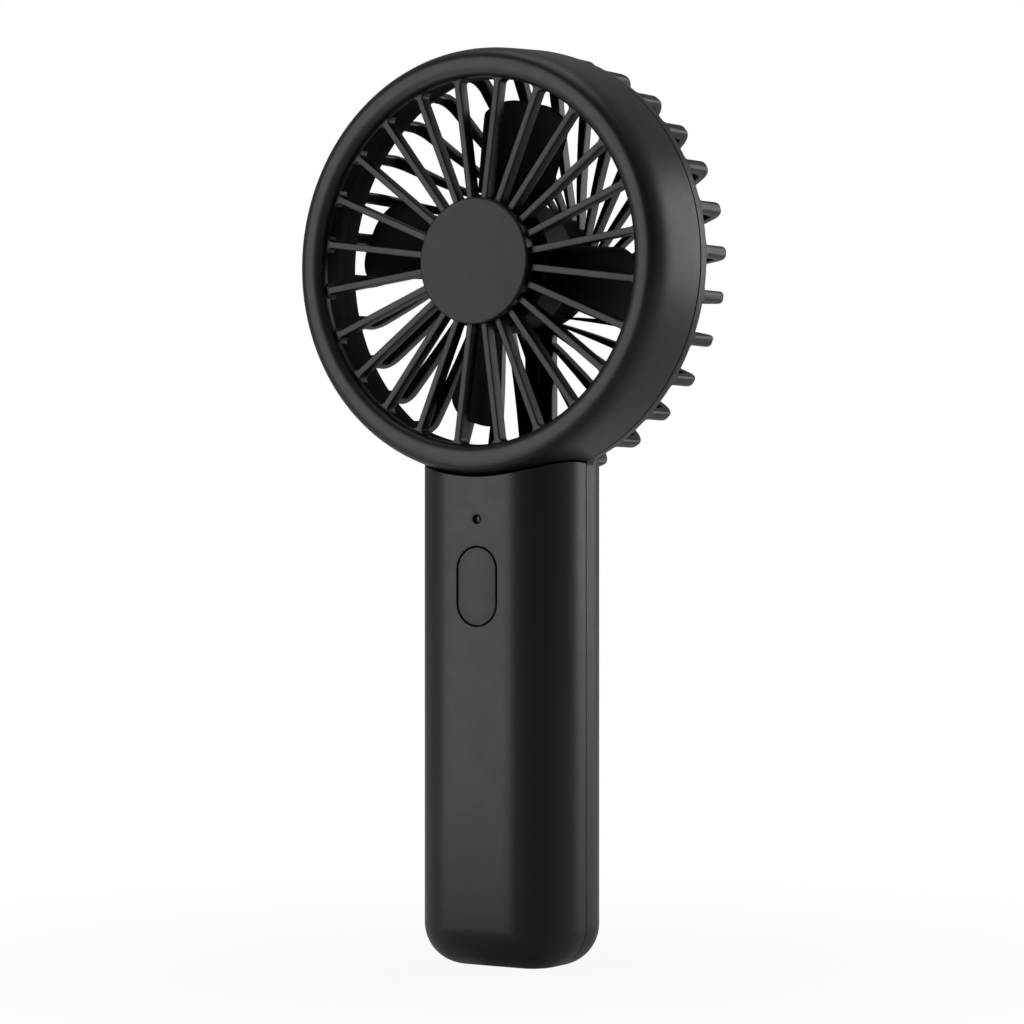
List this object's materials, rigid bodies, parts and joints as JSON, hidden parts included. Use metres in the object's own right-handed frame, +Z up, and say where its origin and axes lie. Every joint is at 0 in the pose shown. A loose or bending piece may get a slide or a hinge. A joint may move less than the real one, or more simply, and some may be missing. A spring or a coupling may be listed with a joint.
{
  "type": "handheld fan",
  "caption": "Rechargeable handheld fan that stands on its handle: caged round head with radial front spokes, swirl rear cage, spinning impeller and push button.",
  "frame": {"origin": "on the plane the handle's base stands on, under the middle of the overall box", "axes": "+Z up the handle to the head, -Y the way the fan blows, +X to the right of a person who faces the grille"},
  "size_m": [0.0944, 0.0312, 0.2002],
  "materials": {
    "shell": "fine matt moulded ABS, black",
    "cap": "fine matt moulded ABS, black",
    "button": "fine matt moulded ABS, black",
    "impeller": "smooth moulded polypropylene, black",
    "lens": "polished smoke tinted light pipe",
    "led": "moulded lens over a white package",
    "switch_plastic": "glass filled nylon",
    "board": "green solder resist",
    "steel": "plated steel",
    "magnet": "bonded ferrite",
    "copper": "enamelled copper wire",
    "brass": "turned brass and sintered bronze",
    "cell_sleeve": "heat shrink sleeve",
    "lead_sleeve": "PVC insulation"
  },
  "bodies": {
    "housing": {"front_grille": "shell", "rear_housing": "shell", "handle_front_shell": "shell", "centre_cap": "cap", "led_lens": "lens", "led_chip": "led", "tact_switch": "switch_plastic", "usb_tongue": "switch_plastic", "main_pcb": "board", "charge_pcb": "board", "motor_pcb": "board", "board_screws": "steel", "motor_screws": "steel", "usb_socket": "steel", "battery_tabs": "steel", "stator_core": "steel", "stator_coils": "copper", "bearing_tube": "brass", "front_bearing": "brass", "rear_bearing": "brass", "battery_cell": "cell_sleeve", "battery_leads": "lead_sleeve", "charge_lead": "lead_sleeve", "motor_lead": "lead_sleeve"},
    "rotor": {"impeller": "impeller", "rotor_yoke": "steel", "rotor_magnet": "magnet", "motor_shaft": "steel", "shaft_clip": "steel"},
    "button": {"power_button": "button", "switch_plunger": "switch_plastic"}
  },
  "joints": [
    {"name": "fan_spin", "type": "hinge", "parent": "housing", "child": "rotor", "pos_m": [0, 0, 0.1531], "axis": [0, 1, 0], "continuous": true},
    {"name": "button_press", "type": "slide", "parent": "housing", "child": "button", "axis": [0, 1, 0], "range_m": [0, 0.0005], "stiffness_N_per_m": 1000, "springref_m": -0.0005}
  ]
}
